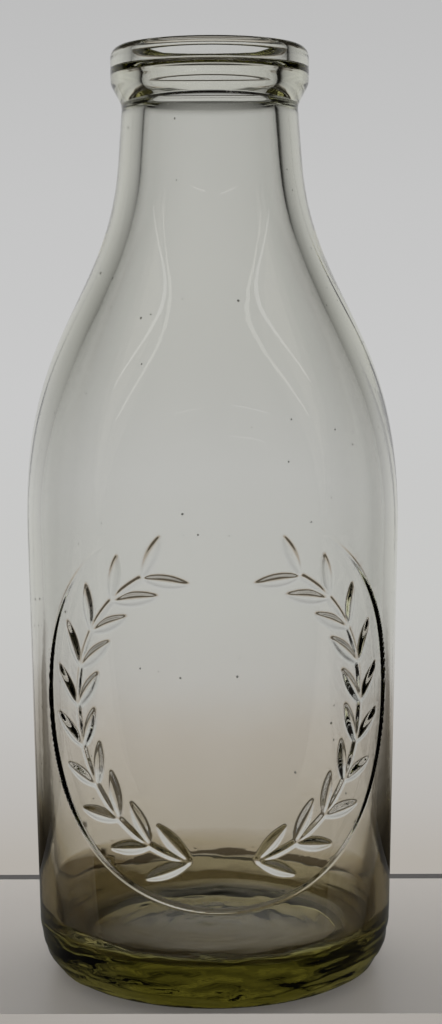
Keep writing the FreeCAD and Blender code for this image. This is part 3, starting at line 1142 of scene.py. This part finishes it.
# %% What the glass shows
paths = shine("ShaderNodeLightPath").outputs
in_glass = shine(
    "ShaderNodeMix", {0: 1.0, 6: glass_colour, 7: side_shade}, data_type="RGBA", blend_type="MULTIPLY"
)
thrown_back = shine("MINIMUM", [paths["Glossy Depth"], 1.0])
climb = {"Value": side_degrees, "From Min": 14.0, "From Max": 40.0, "To Max": 0.12}
side_climb = shine("ShaderNodeMapRange", climb, interpolation_type="SMOOTHSTEP")
low_edge = shine("SUBTRACT", [rise, side_climb])
whole_turn = shine("ARCTAN2", [side_size, way_axes.outputs["Y"]])
turn_degrees = shine("DEGREES", [whole_turn])
low_windows = ((low_edge, -0.281, -0.307), (rise, -0.44, -0.38), (side_degrees, 50.0, 30.0))
room_windows = ((turn_degrees, 54.0, 62.0),)
down_windows = ((rise, -0.18, -0.3),)
up_windows = ((rise, 0.3, 0.5),)
for windows, share, colour in (
    (low_windows, 0.95, "4E463A"),
    (room_windows, thrown_back, "161514"),
    (down_windows, thrown_back, "26231E"),
    (up_windows, thrown_back, "161514"),
):
    for source, start, end in windows:
        window = shine("ShaderNodeMapRange", [source, start, end], interpolation_type="SMOOTHSTEP")
        share = shine("MULTIPLY", [window, share])
    in_glass = shine(
        "ShaderNodeMix", {0: share, 6: in_glass.outputs[2], 7: linear(colour)}, data_type="RGBA"
    )
print("dark zones added for light that comes through the glass")

# %% What each kind of light path sees
fill_light = 0.24
fill_lost_in_glass = 0.04

fill_strength = shine("MULTIPLY_ADD", [paths["Is Transmission Ray"], -fill_lost_in_glass, fill_light])
behind = shine("ShaderNodeBackground", {"Color": background_colour, "Strength": 1.0})
through_glass = shine("ShaderNodeBackground", {"Color": in_glass.outputs[2], "Strength": 1.0})
fill = shine("ShaderNodeBackground", {"Color": linear("C6C4C1"), "Strength": fill_strength})
glass_path = shine("MAXIMUM", [paths["Is Glossy Ray"], paths["Is Transmission Ray"]])
never_spread = shine("LESS_THAN", [paths["Diffuse Depth"], 0.5])
clear_path = shine("MULTIPLY", [glass_path, never_spread])
lit = shine("ShaderNodeMixShader", [clear_path, fill, through_glass])
surround = shine("ShaderNodeMixShader", [paths["Is Camera Ray"], lit, behind])
shine("ShaderNodeOutputWorld", {"Surface": surround})
print("surround made")

# %% [markdown]
# Lamps light the board: one broad and soft from above, a low one behind, as a pale wall would, and one low
# in front for the board's front edge. Clear glass lets most of the low light through, so that lamp is
# split in two: one half is stopped by the bottle and gives its soft shadow, the other is stopped only by
# the board. Four tubes run across overhead, and only their reflections matter: the thin pale lines on the
# shoulder.

# %% Lamps
def add_lamp(name, place, target, width, length, glow, mirrored=False):
    """An area lamp whose surface has a given brightness, where 1 is white."""
    lamp = bpy.data.lights.new(name, "AREA")
    lamp.shape = "RECTANGLE"
    lamp.size = width
    lamp.size_y = length
    lamp.energy = glow * math.pi * width * length
    thing = new_object(name, lamp)
    thing.location = place
    thing.rotation_euler = (Vector(target) - Vector(place)).to_track_quat("-Z", "Y").to_euler()
    thing.visible_camera = False
    thing.visible_glossy = mirrored
    thing.visible_transmission = mirrored
    return thing


tube_height = 0.88
tube_width = 0.025
low_back = ((0, 0.27, 0.15), (0, -1, 0.15), 1.4, 0.26, 1.6)
add_lamp("soft_top", (0, 0.3, 1.5), (0, 0, 0), 2.0, 2.0, 0.52)
add_lamp("low_back", *low_back)
shining_through = add_lamp("low_back_through_glass", *low_back)
shining_through.light_linking.blocker_collection = bpy.data.collections.new("shelf_only")
shining_through.light_linking.blocker_collection.objects.link(floor)
add_lamp("low_front", (0, -1.2, -0.5), (0, 0, 0), 2.0, 0.6, 4.3)
for near_end, far_end, tube_depth, glow in (
    (-0.47, -1.5, -0.4, 1.6),
    (0.26, 1.4, -0.46, 1.6),
    (-0.25, -0.78, -1.5, 1.2),
    (0.24, 1.0, -1.45, 1.2),
):
    middle = Vector(((near_end + far_end) / 2, tube_depth, tube_height))
    below = middle - Vector((0, 0, 1))
    add_lamp("ceiling_tube", middle, below, abs(far_end - near_end), tube_width, glow, mirrored=True)
print(len(bpy.data.lights), "lamps")

# %% [markdown]
# ## Camera
# The camera stands where the photograph was taken from: a little above the middle of the body, half a
# metre away, looking slightly down.

# %% Camera
view_turn = math.radians(-2.9)
camera_distance = 529.0 * mm
camera_height = 183.15 * mm
camera_pitch = math.radians(6.2537)
camera_roll = math.radians(-0.33)
camera_shift = 2.36 * mm
lens_length = 68.38

camera_data = bpy.data.cameras.new("camera")
camera_data.lens = lens_length
camera_data.sensor_width = 36.0
camera = new_object("camera", camera_data)
turned = Matrix.Rotation(view_turn, 4, "Z")
tilted = Matrix.Rotation(math.pi / 2 - camera_pitch, 4, "X")
rolled_view = Matrix.Rotation(camera_roll, 4, "Z")
stand = turned @ Vector((camera_shift, -camera_distance, camera_height))
camera.matrix_world = Matrix.Translation(stand) @ turned @ tilted @ rolled_view
scene.camera = camera
print("camera at", [round(value / mm, 1) for value in stand], "mm")

# %% [markdown]
# ## Render settings
# Light crosses four glass faces to reach the camera, and many more in the base, where it bounces about
# inside. So paths need more bounces than usual. The view transform is Standard, so that colours come out
# as written.

# %% Render settings
scene.view_settings.view_transform = "Standard"
scene.cycles.max_bounces = 32
scene.cycles.transmission_bounces = 32
scene.cycles.glossy_bounces = 24
scene.cycles.diffuse_bounces = 4
print("paths of up to", scene.cycles.max_bounces, "bounces")
